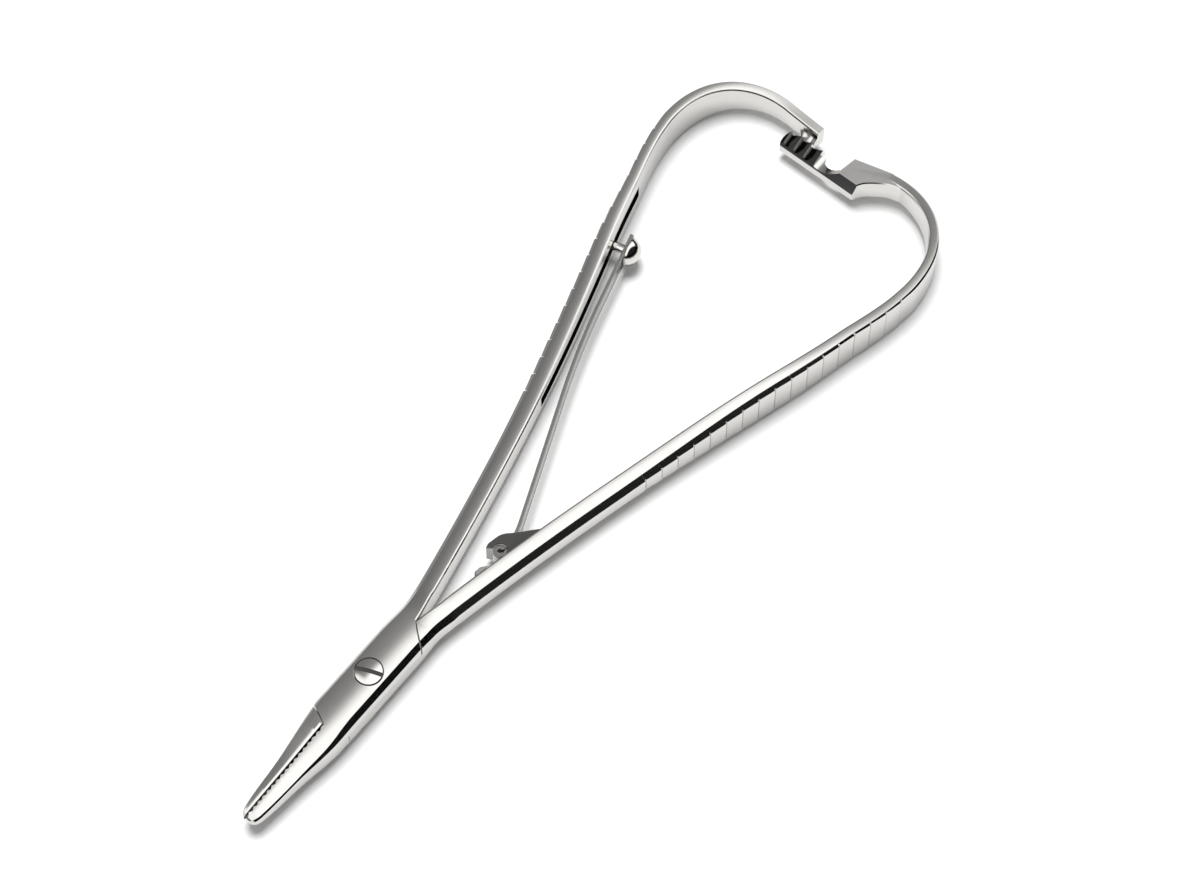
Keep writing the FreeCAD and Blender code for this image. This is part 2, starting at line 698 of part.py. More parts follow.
# Lower lever: left jaw, lower half of the joint and the -Y handle.
trimmed = mirror_y(handle_blank.Shape).cut(Part.makeBox(40, 40, 40, Vector(120, size("block_root_y"), -10)))
lower_handle = feature("lower_handle", trimmed)
lower_outline = feature("lower_outline", prism(lap_region(-1), -reach, reach))
lower_pocket = feature("lower_pocket", layer(lap_region(1, size("step_gap")), True))
lower_stock = boolean("Part::Fuse", "lower_stock", nose_blank, lower_handle)
lower_owned = boolean("Part::Common", "lower_owned", lower_stock, lower_outline)
lower_lapped = boolean("Part::Cut", "lower_lapped", lower_owned, lower_pocket)

def primitive(kind, name, **expressions):
    """Part primitive whose properties follow expressions of the sheet."""
    item = doc.addObject(kind, name)
    item.Label = name
    for key, text in expressions.items():
        item.setExpression(key.replace("_", "."), text)
    return item


# Pivot screw, standing in the lower lever, with its head let into the upper lever.
middle_of = "sizes.handle_depth / 2"
joint_top = middle_of + " + sizes.joint_depth / 2"
head_disc = primitive("Part::Cylinder", "screw_head_disc", Radius="sizes.screw_head_diameter / 2",
                      Height="sizes.screw_head_height + sizes.screw_head_dome",
                      Placement_Base_z=joint_top + " - sizes.screw_head_height")
dome_radius = "((sizes.screw_head_diameter / 2)^2 + sizes.screw_head_dome^2) / (2 * sizes.screw_head_dome)"
head_ball = primitive("Part::Sphere", "screw_head_ball", Radius=dome_radius,
                      Placement_Base_z=joint_top + " + sizes.screw_head_dome - " + dome_radius)
screw_head = boolean("Part::Common", "screw_head", head_disc, head_ball)
screw_shank = primitive("Part::Cylinder", "screw_shank", Radius="sizes.screw_shank_diameter / 2",
                        Height="sizes.joint_depth / 2 - sizes.screw_head_height",
                        Placement_Base_z=middle_of)
screw_thread = primitive("Part::Cylinder", "screw_thread", Radius="sizes.screw_thread_diameter / 2",
                         Height="sizes.joint_depth / 2", Placement_Base_z=middle_of + " - sizes.joint_depth / 2")
screw_body = boolean("Part::Fuse", "screw_body", boolean("Part::Fuse", "screw_top", screw_head, screw_shank),
                     screw_thread)
slot_length = "2 * sizes.screw_head_diameter"
screw_slot = primitive("Part::Box", "screw_slot", Length=slot_length, Width="sizes.screw_slot_width",
                       Height="sizes.screw_slot_depth + sizes.screw_head_dome",
                       Placement_Base_z=joint_top + " - sizes.screw_slot_depth + sizes.screw_head_dome / 2")
slot_turn = FreeCAD.Rotation(UP, size("screw_slot_angle"))
slot_middle = Vector(-size("screw_head_diameter"), -size("screw_slot_width") / 2, 0)
screw_slot.Placement.Rotation = slot_turn
screw_slot.Placement.Base = slot_turn.multVec(slot_middle)
pivot_screw = boolean("Part::Cut", "pivot_screw", screw_body, screw_slot)

# Bores that take the screw.
head_seat = primitive("Part::Cylinder", "head_seat", Radius="sizes.screw_head_diameter / 2 + sizes.screw_head_fit",
                      Height="sizes.joint_depth", Placement_Base_z=joint_top
                      + " - sizes.screw_head_height - sizes.lap_gap / 2")
shank_bore = primitive("Part::Cylinder", "shank_bore",
                       Radius="sizes.screw_shank_diameter / 2 + sizes.screw_running_fit", Height="sizes.joint_depth",
                       Placement_Base_z=middle_of)
thread_bore = primitive("Part::Cylinder", "thread_bore",
                        Radius="sizes.screw_thread_diameter / 2 + sizes.screw_thread_fit",
                        Height="2 * sizes.joint_depth", Placement_Base_z=middle_of + " - sizes.joint_depth")
screw_bore = boolean("Part::Fuse", "screw_bore", head_seat, shank_bore)

# Details of both levers.
bite_edges = feature("bite_edges", Part.makeCompound([bite_bevel(1), bite_bevel(-1)]))
upper_grip = feature("upper_grip", grip_grooves())
lower_grip = feature("lower_grip", mirror_y(upper_grip.Shape))
button_groove = feature("button_groove", guide_groove())
pawl = feature("pawl", make_pawl())
claw = feature("claw", make_claw())
claw_room = feature("claw_room", claw_space())
lip = feature("lip", make_lip())
bar_blank = feature("bar_blank", make_bar())
bar = bar_blank
for number, cutter in enumerate(bar_cuts(), 1):
    bar = boolean("Part::Cut", f"bar_cut_{number}", bar, feature(f"bar_cutter_{number}", cutter))

upper = boolean("Part::Fuse", "upper_with_pawl", upper_lapped, pawl)
for name, cutter in (("upper_bitten", bite_edges), ("upper_gripped", upper_grip),
                     ("upper_grooved", button_groove)):
    upper = boolean("Part::Cut", name, upper, cutter)
upper_lever = boolean("Part::Cut", "upper_lever", upper, screw_bore)

lower = boolean("Part::Fuse", "lower_with_bar", lower_lapped, bar)
lower = boolean("Part::Fuse", "lower_with_claw", lower, claw)
lower = boolean("Part::Cut", "lower_clawed", lower, claw_room)
lower = boolean("Part::Fuse", "lower_with_lip", lower, lip)
for name, cutter in (("lower_bitten", bite_edges), ("lower_gripped", lower_grip)):
    lower = boolean("Part::Cut", name, lower, cutter)
lower_lever = boolean("Part::Cut", "lower_lever", lower, thread_bore)

# Leaf spring: a strip with a rolled eye.
half_leaf = size("leaf_width") / 2
strip = prism(leaf.ribbon(0, leaf.length, -size("leaf_thickness") / 2, size("leaf_thickness") / 2),
              middle - half_leaf, middle + half_leaf)
roll_start = eye + UP * (middle - half_leaf)
roll = Part.makeCylinder(size("eye_radius"), size("leaf_width"), roll_start)
roll = roll.cut(Part.makeCylinder(size("eye_radius") - size("leaf_thickness"), size("leaf_width"), roll_start))
roll_end = Part.makeBox(size("eye_radius"), 0.35, size("leaf_width"), roll_start)
roll_end.rotate(eye, UP, -42)
leaf_strip = feature("leaf_strip", strip)
leaf_roll = feature("leaf_roll", roll.cut(roll_end))
leaf_stock = boolean("Part::Fuse", "leaf_stock", leaf_strip, leaf_roll)

# Guide button: domed head under the leaf, neck through it and a slide in the groove.
button_place = leaf.length - size("button_setback")
button_seat, button_heading = leaf.at(button_place)
button_frame = FreeCAD.Placement(button_seat + UP * middle, FreeCAD.Rotation(
    Vector(0, 0, 1), Vector(-math.sin(button_heading), math.cos(button_heading), 0)))


def on_button(kind, name, height_text, **expressions):
    """Round piece on the button's axis, starting at a height over the leaf's middle."""
    item = primitive(kind, name, **expressions)
    height = doc.addObject("App::FeaturePython", name + "_height")
    height.addProperty("App::PropertyFloat", "Value")
    height.setExpression("Value", height_text)
    doc.recompute()
    item.Placement = button_frame.multiply(FreeCAD.Placement(UP * height.Value, FreeCAD.Rotation()))
    return item


half_strip = "sizes.leaf_thickness / 2"
cap_radius = "((sizes.button_diameter / 2)^2 + sizes.button_height^2) / (2 * sizes.button_height)"
button_disc = on_button("Part::Cylinder", "button_disc", "-sizes.button_height - sizes.button_rim - " + half_strip,
                        Radius="sizes.button_diameter / 2", Height="sizes.button_height + sizes.button_rim")
button_ball = on_button("Part::Sphere", "button_ball",
                        cap_radius + " - sizes.button_height - sizes.button_rim - " + half_strip, Radius=cap_radius)
button_rim = on_button("Part::Cylinder", "button_rim", "-sizes.button_rim - " + half_strip,
                       Radius="sizes.button_diameter / 2", Height="sizes.button_rim")
button_cap = boolean("Part::Common", "button_cap", button_disc, button_ball)
button_head = boolean("Part::Fuse", "button_head", button_cap, button_rim)
button_neck = on_button("Part::Cylinder", "button_neck", "-" + half_strip, Radius="sizes.button_neck_diameter / 2",
                        Height="sizes.button_slide_lift + " + half_strip)
button_slide = on_button("Part::Cylinder", "button_slide", "sizes.button_slide_lift",
                         Radius="sizes.button_slide_diameter / 2", Height="sizes.button_slide_height")
guide_button = boolean("Part::Fuse", "guide_button", boolean("Part::Fuse", "button_pin", button_neck, button_slide),
                       button_head)
button_hole = on_button("Part::Cylinder", "button_hole", "-" + half_strip,
                        Radius="sizes.button_neck_diameter / 2", Height="sizes.leaf_thickness")
leaf_spring = boolean("Part::Cut", "leaf_spring", leaf_stock, button_hole)

doc.recompute()
os.makedirs("parts", exist_ok=True)
for item in doc.Objects:
    if "Invalid" in item.State or "Error" in item.State:
        raise RuntimeError(f"{item.Label} did not compute: {item.State}")
for item in (upper_lever, lower_lever, pivot_screw, leaf_spring, guide_button):
    if item.Shape.isNull() or not item.Shape.isValid():
        raise RuntimeError(f"{item.Label} is not a valid shape")
    if len(item.Shape.Solids) != 1:
        raise RuntimeError(f"{item.Label} has {len(item.Shape.Solids)} solids")
    item.Shape.translated(Vector(-size("middle_x"), 0, 0)).exportStep(f"parts/{item.Label}.step")
    print(item.Label, round(item.Shape.Volume, 1))
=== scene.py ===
# %% [markdown]
# # Surgical needle holder
#
# Two polished steel levers cross at a slotted screw. Their handles flare, curl round and meet
# at a small ratchet, and a leaf spring pushes them apart. Every surface below is worked out
# with numpy: bars are swept along paths, and flat pieces are cut from plan outlines.

import bmesh
import bpy
import numpy as np
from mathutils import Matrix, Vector


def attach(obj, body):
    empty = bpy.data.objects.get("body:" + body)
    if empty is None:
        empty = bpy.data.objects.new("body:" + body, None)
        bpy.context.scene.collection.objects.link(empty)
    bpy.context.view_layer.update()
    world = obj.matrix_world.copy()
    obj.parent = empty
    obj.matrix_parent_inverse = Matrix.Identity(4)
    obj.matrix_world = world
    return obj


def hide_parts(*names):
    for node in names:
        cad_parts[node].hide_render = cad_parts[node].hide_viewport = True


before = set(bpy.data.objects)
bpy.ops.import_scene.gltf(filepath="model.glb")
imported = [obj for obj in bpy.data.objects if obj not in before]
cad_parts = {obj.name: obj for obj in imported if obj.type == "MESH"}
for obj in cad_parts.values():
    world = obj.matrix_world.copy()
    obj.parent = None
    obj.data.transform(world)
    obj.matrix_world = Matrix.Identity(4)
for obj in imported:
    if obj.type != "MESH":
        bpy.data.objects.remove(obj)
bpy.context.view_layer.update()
rad = np.radians

# %% [markdown]
# ## Units
#
# Shapes are drawn in millimetres around the pivot, with x along the centre line, and go to the
# row frame in metres only at the end. The pivot stands 51.9 mm from the frame's origin.

# %% Sizes shared by several pieces
PIVOT_X = 51.9
MIDDLE = 5.0
JAW = 33.2
STEP_FRONT, STEP_REAR = 12.3, 12.7
LAP_GAP, STEP_GAP = 0.06, 0.12
HEAD_SEAT = 2.68
SLOT_HEADING = rad(-67)
SLOT_HALF = 0.4
NECK = (19.0, 3.05)
LEGS = [(72.7, 6.1), (29.3, -7.3), (15.4 * rad(103.0), -103.0), (7.0, 0.0)]
CURL_START = 72.7 + 29.3
CURL_END = CURL_START + 15.4 * rad(103.0)
PATH_END = CURL_END + 7.0

# %% [markdown]
# ## Small tools for numbers
#
# `graded` joins (place, value) stations with a monotone cubic, so a taper never overshoots.
# `trace` walks a chain of straight and round legs.


# %% Interpolation and paths
def graded(stations, place):
    x = np.array([s[0] for s in stations], float)
    y = np.array([s[1] for s in stations], float)
    grade = np.diff(y) / np.diff(x)
    same = grade[:-1] * grade[1:] > 0
    total = np.where(same, grade[:-1] + grade[1:], 1.0)
    inner = np.where(same, 2 * grade[:-1] * grade[1:] / total, 0.0)
    slope = np.concatenate([grade[:1], inner, grade[-1:]])
    place = np.clip(np.asarray(place, float), x[0], x[-1])
    k = np.clip(np.searchsorted(x, place, side="right") - 1, 0, len(x) - 2)
    run = x[k + 1] - x[k]
    t = (place - x[k]) / run
    return ((1 + 2 * t) * (1 - t) ** 2 * y[k] + t * (1 - t) ** 2 * run * slope[k]
            + t * t * (3 - 2 * t) * y[k + 1] + t * t * (t - 1) * run * slope[k + 1])


def trace(start, heading, legs, places):
    points, headings = [], []
    for place in np.atleast_1d(places):
        point, h, left = np.array(start, float), rad(heading), float(place)
        for number, (length, turn) in enumerate(legs):
            run = left if number == len(legs) - 1 else min(left, length)
            bend = rad(turn) * run / length
            if abs(bend) > 1e-9:
                step = np.array([np.sin(h + bend) - np.sin(h), np.cos(h) - np.cos(h + bend)]) * run / bend
            else:
                step = np.array([np.cos(h), np.sin(h)]) * run
            point, h, left = point + step, h + bend, left - run
            if left <= 1e-9:
                break
        points.append(point)
        headings.append(h)
    return np.array(points), np.array(headings)


def arc(a, m, b, count=12):
    a, m, b = (np.array(p, float) for p in (a, m, b))
    c = np.linalg.solve(2 * np.array([m - a, b - a]), [m @ m - a @ a, b @ b - a @ a])
    start, middle, end = (np.arctan2(*(p - c)[::-1]) for p in (a, m, b))
    swing = (end - start) % (2 * np.pi)
    if (middle - start) % (2 * np.pi) > swing:
        swing -= 2 * np.pi
    angles = start + swing * np.linspace(0, 1, count)
    return c + np.linalg.norm(a - c) * np.stack([np.cos(angles), np.sin(angles)], 1)


def smooth(points, per_leg=8):
    p = np.array(points, float)
    p = np.vstack([2 * p[0] - p[1], p, 2 * p[-1] - p[-2]])
    out = []
    for k in range(1, len(p) - 2):
        for t in np.arange(per_leg) / per_leg:
            out.append(0.5 * (2 * p[k] + (p[k + 1] - p[k - 1]) * t
                              + (2 * p[k - 1] - 5 * p[k] + 4 * p[k + 1] - p[k + 2]) * t * t
                              + (3 * p[k] - p[k - 1] - 3 * p[k + 1] + p[k + 2]) * t ** 3))
    return np.array(out + [p[-2]])


# %% [markdown]
# ## Small tools for meshes
#
# A bar is a stack of rings. A plate is a plan outline between two heights, with a fine break
# along its edges. Pieces are cut and joined with exact booleans.


# %% Meshes from rings and outlines
def make(name, verts, faces):
    mesh = bpy.data.meshes.new(name)
    mesh.from_pydata(np.asarray(verts).tolist(), [], faces)
    shape = bmesh.new()
    shape.from_mesh(mesh)
    bmesh.ops.remove_doubles(shape, verts=shape.verts, dist=1e-5)
    bmesh.ops.recalc_face_normals(shape, faces=shape.faces)
    shape.to_mesh(mesh)
    shape.free()
    obj = bpy.data.objects.new(name, mesh)
    bpy.context.scene.collection.objects.link(obj)
    return obj


def rings(name, stack):
    stack = np.asarray(stack, float)
    n, m = stack.shape[:2]
    grid = np.arange(n * m).reshape(n, m)
    nxt = np.roll(grid, -1, axis=1)
    quads = np.stack([grid[:-1], nxt[:-1], nxt[1:], grid[1:]], -1).reshape(-1, 4).tolist()
    quads += [grid[0].tolist(), grid[-1].tolist()]
    return make(name, stack.reshape(-1, 3), quads)


def plate(name, outline, low, high, edge=0.0):
    p = np.array(outline, float)
    keep = np.linalg.norm(p - np.roll(p, 1, axis=0), axis=1) > 1e-6
    p = p[keep]
    if edge == 0:
        return rings(name, [np.c_[p, np.full(len(p), z)] for z in (low, high)])
    ahead, behind = np.roll(p, -1, axis=0) - p, p - np.roll(p, 1, axis=0)
    ahead /= np.linalg.norm(ahead, axis=1)[:, None]
    behind /= np.linalg.norm(behind, axis=1)[:, None]
    area = np.sum(p[:, 0] * np.roll(p[:, 1], -1) - np.roll(p[:, 0], -1) * p[:, 1])
    inward = np.sign(area) * np.stack([-(ahead + behind)[:, 1], (ahead + behind)[:, 0]], 1)
    inward /= np.maximum(np.sum((ahead + behind) ** 2, 1), 1.2)[:, None] / 2
    q = p + edge * inward
    return rings(name, [np.c_[q, np.full(len(p), low)], np.c_[p, np.full(len(p), low + edge)],
                        np.c_[p, np.full(len(p), high - edge)], np.c_[q, np.full(len(p), high)]])


def lathe(name, profile, count=96):
    turns = np.linspace(0, 2 * np.pi, count, endpoint=False)
    stack = [np.stack([r * np.cos(turns), r * np.sin(turns), np.full(count, z)], 1) for r, z in profile]
    return rings(name, stack)


def block(name, low, high):
    (x0, y0, z0), (x1, y1, z1) = low, high
    return plate(name, [(x0, y0), (x1, y0), (x1, y1), (x0, y1)], z0, z1)


def carve(target, tool, operation="DIFFERENCE"):
    modifier = target.modifiers.new("carve", "BOOLEAN")
    modifier.operation, modifier.object, modifier.solver = operation, tool, "EXACT"
    for crossing_itself in (False, True):
        modifier.use_self = crossing_itself
        solved = target.evaluated_get(bpy.context.evaluated_depsgraph_get())
        mesh = bpy.data.meshes.new_from_object(solved)
        if len(mesh.polygons):
            break
    else:
        raise RuntimeError("nothing is left of " + target.name)
    target.modifiers.clear()
    target.data = mesh
    bpy.data.objects.remove(tool)
    return target


def move(obj, change):
    verts = np.array([v.co for v in obj.data.vertices], float)
    for vertex, co in zip(obj.data.vertices, change(verts)):
        vertex.co = co
    return obj


# %% [markdown]
# ## The bar's section
#
# Every station of a lever is an upright bar with a bevel along its four long edges. The upper
# bevels have a middle point, so that they can be plane or soft. The other corners are rounded a
# little, because a polished edge always is.


# %% Section with rounded corners and a crowned top
def section(right, left, depth, right_break, left_break, lean=0.0, curve=0.0, rise=1.0,
            corner=0.1, support=0.07):
    half = depth / 2
    (rw, rd, rs), (lw, ld, ls) = right_break, left_break
    inside = np.linspace(left - lw, right + rw, 9)
    crown = -lean * inside - curve * inside ** 2 / 2
    crown += half - rise * crown.max()
    cross = [(left, crown[0] - ld), (left - 0.45 * lw, crown[0] - ls * ld)] + list(zip(inside, crown))
    cross += [(right + 0.45 * rw, crown[-1] - rs * rd), (right, crown[-1] - rd), (right, rd - half),
              (right + rw, -half), (left - lw, -half), (left, ld - half)]
    cross = np.array(cross)
    rounded = [True, False, True] + [False] * 7 + [True, False] + [True] * 5
    before_it, after_it = np.roll(cross, 1, axis=0) - cross, np.roll(cross, -1, axis=0) - cross
    out = []
    for p, a, b, fillet in zip(cross, before_it, after_it, rounded):
        if not fillet:
            out.append(p[None])
            continue
        la, lb = np.linalg.norm(a), np.linalg.norm(b)
        a, b = a / la, b / lb
        turn = np.arccos(np.clip(a @ b, -1, 1))
        t = min(corner / np.tan(turn / 2), 0.3 * la, 0.3 * lb)
        s = min(support, 0.15 * la, 0.15 * lb)
        bend = [p + a * t * (1 - k) ** 2 + b * t * k ** 2 for k in (0, 1 / 3, 2 / 3, 1)]
        out.append([p + a * (t + s)] + bend + [p + b * (t + s)])
    return np.vstack(out)


# %% [markdown]
# ## How a lever's section changes
#
# The closed pair is one smooth nose from the tip to the joint. Behind it each handle thins in
# plan while it deepens, up to the shoulder, and gets shallower again round the curl. A break is
# its width, its drop, and the share of the drop that comes before its middle: 0.55 is a plane,
# and less is a soft edge that shows a bright line with a dark one below it.


# %% Taper laws
def nose_depth(x):
    return graded([(-JAW, 1.1), (-JAW + 0.4, 2.1), (-JAW + 2, 2.8), (-22, 4.4), (-STEP_FRONT, 6.7), (-8, 7.4), (8, 7.4),
                   (13.5, 5.9), (19, 5.6)], x)


def nose_break(x):
    width = graded([(-JAW, 0.45), (-JAW + 1.5, 0.35), (-STEP_FRONT - 12, 0.28), (-STEP_FRONT - 5, 0.5), (-8, 1.0), (8, 1.0), (19, 1.2)], x)
    return width, 0.95 * width


def jaw_side(x, joint, root, halfway, tip):
    return graded([(-JAW, tip - 1.0), (-JAW + 0.4, tip - 0.5), (-JAW + 2, tip), (-22, halfway),
                   (-STEP_FRONT, root), (-9, joint), (19, joint)], x)


def handle_thickness(s):
    return graded([(0, 3.9), (36, 3.8), (74, 2.95), (CURL_START - 12, 2.3),
                   ((CURL_START + CURL_END) / 2, 1.95), (PATH_END, 1.95)], s)


def handle_height(s):
    return graded([(0, 5.6), (36, 5.6), (74, 10), (CURL_START, 10), (CURL_END, 5.3), (PATH_END, 4.8)], s)


def outer_break(s):
    width = graded([(0, 1.2), (36, 1.2), (60, 1.1), (76, 0.8), (88, 0.45), (CURL_START, 0.35),
                    (PATH_END, 0.3)], s)
    drop = graded([(0, 0.85), (36, 0.85), (76, 0.55), (CURL_START, 0.3), (PATH_END, 0.3)], s)
    return width, drop


INNER_BREAK = (0.42, 0.4, 0.22)


# %% [markdown]
# Round the curl each handle swells outwards a little, once before it and once on it.


# %% Path of a handle
def swell(s):
    return graded([(CURL_START - 14, 0.0), (CURL_START - 4, 0.42), (CURL_START + 4, 0.05),
                   (CURL_START + 16, 0.5), (CURL_END, 0.0)], s)


def handle_path(places):
    places = np.atleast_1d(places)
    points, headings = trace(NECK, 11.2, LEGS, places)
    points = points + swell(places)[:, None] * np.stack([-np.sin(headings), np.cos(headings)], 1)
    return points, headings + np.arctan((swell(places + 0.05) - swell(places - 0.05)) / 0.1)


# %% [markdown]
# ## Grip grooves
#
# The outer face of each handle is stepped like a saw: a row of shallow grooves, each cut
# straight down on one side and rising slowly on the other.

# %% Saw profile along a handle
GROOVES = 41.9 + 3.61 * np.arange(17)


def groove_depth(s):
    knots, depths = [0.0], [0.0]
    for g in GROOVES:
        knots += [g, g + 0.1, g + 0.2, g + 0.34, g + 3.6]
        depths += [0.0, 0.3, 0.3, 0.12, 0.0]
    return np.interp(s, knots + [PATH_END], depths + [0.0])


# %% [markdown]
# The top face isn't flat: it is crowned like a large cylinder, and on each handle it leans a
# little. This is what makes one handle look grey and the other white under the same light.

# %% One lever's bar, from the jaw to the end of the handle
def lean(s, side):
    if side > 0:
        return graded([(0, 0.18), (25, 0.14), (62, 0.13), (84, 0.02), (PATH_END, 0.0)], s)
    return graded([(0, 0.17), (62, 0.17), (84, 0.04), (96, 0.0), (PATH_END, 0.0)], s)


def trim(s, side):
    cut = graded([(0, 0.6), (28, 0.5), (45, 0.25), (70, 0.12), (86, 0.0), (PATH_END, 0.0)], s)
    return cut * (side > 0)


def lever_bar(name, side):
    stack = []
    for x in np.concatenate([np.linspace(-JAW, -JAW + 2, 9), np.linspace(-JAW + 2, STEP_REAR, 90)[1:],
                             np.linspace(STEP_REAR + 0.02, 19, 13)[:-1]]):
        share = np.clip((x - 12.9) / 6.1, 0, 1)
        heading = rad(11.2) * share ** 2
        width, drop = nose_break(x)
        curve = graded([(-24, 1 / 9), (-8, 1 / 20), (12.9, 1 / 20), (19, 1 / 8 if side > 0 else 1 / 12)], x)
        if x <= STEP_REAR:
            low, high = -jaw_side(x, 4.1, 4.1, 3.15, 2.4), jaw_side(x, 3.72, 3.4, 2.1, 1.25)
            width = min(width, 0.3 * (high - low))
            edges = (width, drop, 0.55), (0.5 * width, 0.4 * drop, 0.55)
        else:
            inner = graded([(1.5, -1.9), (13.5, 0.0), (19, 1.14)], x)
            outer = graded([(1.5, 3.72), (12.7, 3.72), (19, 4.37)] if side > 0 else
                           [(1.5, 4.1), (12.7, 4.1), (19, 4.96)], x)
            low, high = (inner, outer) if side > 0 else (-outer, -inner)
            outer = (0.5 * width, 0.4 * drop, 0.55) if side > 0 else (width, drop, 0.55)
            edges = (INNER_BREAK, outer) if side > 0 else (outer, INNER_BREAK)
        middle = share * (low + high) / 2
        ring = section(low - middle, high - middle, nose_depth(x), *edges,
                       share * side * lean(0.0, side), curve, share)
        ring = ring + [middle, 0]
        outward = np.maximum(ring[:, 0] * side, 0)
        y = np.where(ring[:, 0] * side > 0, ring[:, 0] * np.cos(heading), ring[:, 0])
        stack.append(np.c_[x - outward * np.sin(heading), y, MIDDLE + ring[:, 1]])
    last = PATH_END if side > 0 else CURL_END + 0.9
    extra = [g + d for g in GROOVES for d in (-0.03, 0.0, 0.1, 0.2, 0.34, 0.4)]
    places = np.unique(np.round(np.concatenate([
        np.arange(0, CURL_START, 1.0), np.linspace(CURL_START, CURL_END, 60),
        np.linspace(CURL_END, last, 8), extra]), 4))
    points, headings = handle_path(places)
    for s, p, h in zip(places, points, headings):
        half, groove, outer = handle_thickness(s) / 2, groove_depth(s), outer_break(s)
        outer = max(outer[0] - groove, 0.24), outer[1], 0.55
        groove += trim(s, side)
        low, high = (-half, half - groove) if side > 0 else (groove - half, half)
        half_outer = 0.5 * outer[0], 0.5 * outer[1], 0.55
        edges = (INNER_BREAK, half_outer) if side > 0 else (outer, INNER_BREAK)
        curve = 1 / 8 if side > 0 else 1 / 12
        ring = section(low, high, handle_height(s), *edges, side * lean(s, side), curve)
        xy = p * [1, side] + ring[:, :1] * np.array([-np.sin(side * h), np.cos(h)])
        stack.append(np.c_[xy, MIDDLE + ring[:, 1]])
    return rings(name, stack)


# %% [markdown]
# ## The lap joint
#
# In its own layer each lever keeps everything except the other lever's jaw and handle beyond
# two curved steps. Below the lap face the same outline, mirrored, belongs to the other lever.


# %% Plan of what one lever owns in its own layer
def lap_region(side, grow=0.0, front_more=0.0, rear_more=0.0):
    gap = -0.3 if side > 0 else -0.05
    teeth = [(-STEP_FRONT - 1.2 * n + 0.6 * half, gap - 0.19 + 0.38 * half)
             for n in range(20, 0, -1) for half in (0, 1)]
    teeth = [t for t in teeth if t[0] < -STEP_FRONT - grow - 0.1]
    front = arc((-STEP_FRONT - grow, gap), (-11.25 - grow - front_more, side * 1.75),
                (-10.2 - grow - front_more, side * 4.8))
    rear = arc((STEP_REAR + grow, side * STEP_GAP / 2), (10.55 + grow + rear_more, -side * 2.2),
               (7.9 + grow, -side * 6.2))
    far = [(front[-1][0], side * 60), (200, side * 60), (200, side * STEP_GAP / 2)]
    back = [(rear[-1][0], -side * 60), (-60, -side * 60), (-60, teeth[0][1])]
    return np.vstack([teeth, front, far, rear, back])


def bite_break(up):
    stack = []
    for x in np.linspace(-STEP_FRONT - STEP_GAP - 0.013 * up, -JAW - 1, 40 + up):
        z = MIDDLE + up * nose_depth(x) / 2
        deep = 0.3 * nose_depth(x)
        stack.append([(x, -0.5, z - up * deep), (x, 0.15, z - up * deep), (x, 0.15, z - up * 0.1),
                      (x, 0.52, z - up * 0.01), (x, 4, z + up), (x, -0.5, z + up)])
    return rings("bite_break", stack)


def joint(lever, side):
    carve(lever, plate("owned", lap_region(side), -30, 40), "INTERSECT")
    if side > 0:
        pocket = plate("pocket", lap_region(-1, STEP_GAP), -30, MIDDLE + LAP_GAP / 2)
    else:
        pocket = plate("pocket", lap_region(1, STEP_GAP, 0.1, 0.25), MIDDLE - LAP_GAP / 2, 40)
    carve(lever, pocket)
    if side < 0:
        for up in (1, -1):
            carve(lever, bite_break(up))
    return lever


upper = joint(lever_bar("upper", 1), 1)
lower = joint(lever_bar("lower", -1), -1)
carve(upper, lathe("head_seat", [(HEAD_SEAT, 7.17), (HEAD_SEAT, 12)]))
carve(upper, lathe("shank_bore", [(1.84, 4), (1.84, 8)]))
carve(lower, lathe("thread_bore", [(1.52, -1), (1.52, 8)]))

# %% [markdown]
# ## Groove and pawl of the upper lever
#
# A slot in the inner face guides the spring's button. The end of the strap turns into a hook,
# hollow on its inner side, that reaches down over the ratchet.


# %% Groove and pawl
def along_handle(places, offset):
    points, headings = handle_path(places)
    return points + np.asarray(offset)[:, None] * np.stack([-np.sin(headings), np.cos(headings)], 1)


s = np.linspace(42, 89, 40)
slot = np.vstack([along_handle(s, 1.35 - handle_thickness(s) / 2),
                  along_handle(s[::-1], -handle_thickness(s[::-1]) / 2 - 1)])
carve(upper, plate("groove", slot, MIDDLE - 1.7, MIDDLE + 1.7))

end = along_handle([PATH_END], [0])[0]
inner_end = along_handle([PATH_END], [-0.975])[0]
tip_x = np.sqrt((np.hypot(132.7, 8.1) + 0.4) ** 2 - inner_end[1] ** 2)
stack = []
for share in (1, 1, 1, 1, 0.93, 0.75, 0.5, 0.25, 0.07, 0):
    y = inner_end[1] + 2.4 * len(stack) / 3 if len(stack) < 4 else y + 0.35
    x = inner_end[0] - 0.05 + (tip_x - inner_end[0]) * share
    low = 4.25
    curve = smooth([(end[0], 2.9), (x + 0.25 * (end[0] - x), low - 0.9 * share), (x, low), (x, low + 0.7),
                    ((x + end[0] - 0.6) / 2 + 0.15 * share, 5.7), (end[0] - 0.6, 6.6), (end[0], 7.1)], 5)
    stack.append(np.stack([curve[:, 0], np.full(len(curve), y), curve[:, 1]], 1))
carve(upper, rings("pawl", stack), "UNION")


# %% [markdown]
# ## Claw, rest and ratchet bar of the lower lever


# %% Lower lever's details
EYE = np.array([32.6, -2.7])
LEAF_RADIUS, LEAF_HALF = 0.9, 0.35
LEAF_LEGS = [(3.0, 0.0), (4.0, 10.6), (26.0, 0.0), (21.0, -7.0), (14.0, 0.0)]
LEAF_START = EYE + LEAF_RADIUS * np.array([np.sin(rad(12)), -np.cos(rad(12))])
LEAF_END = 68.0


def leaf_at(places, offset):
    points, headings = trace(LEAF_START, 12.0, LEAF_LEGS, places)
    return points + offset * np.stack([-np.sin(headings), np.cos(headings)], 1)


def inner_y(x):
    return 1.1 + (x - 19.0) * np.tan(rad(12.2))


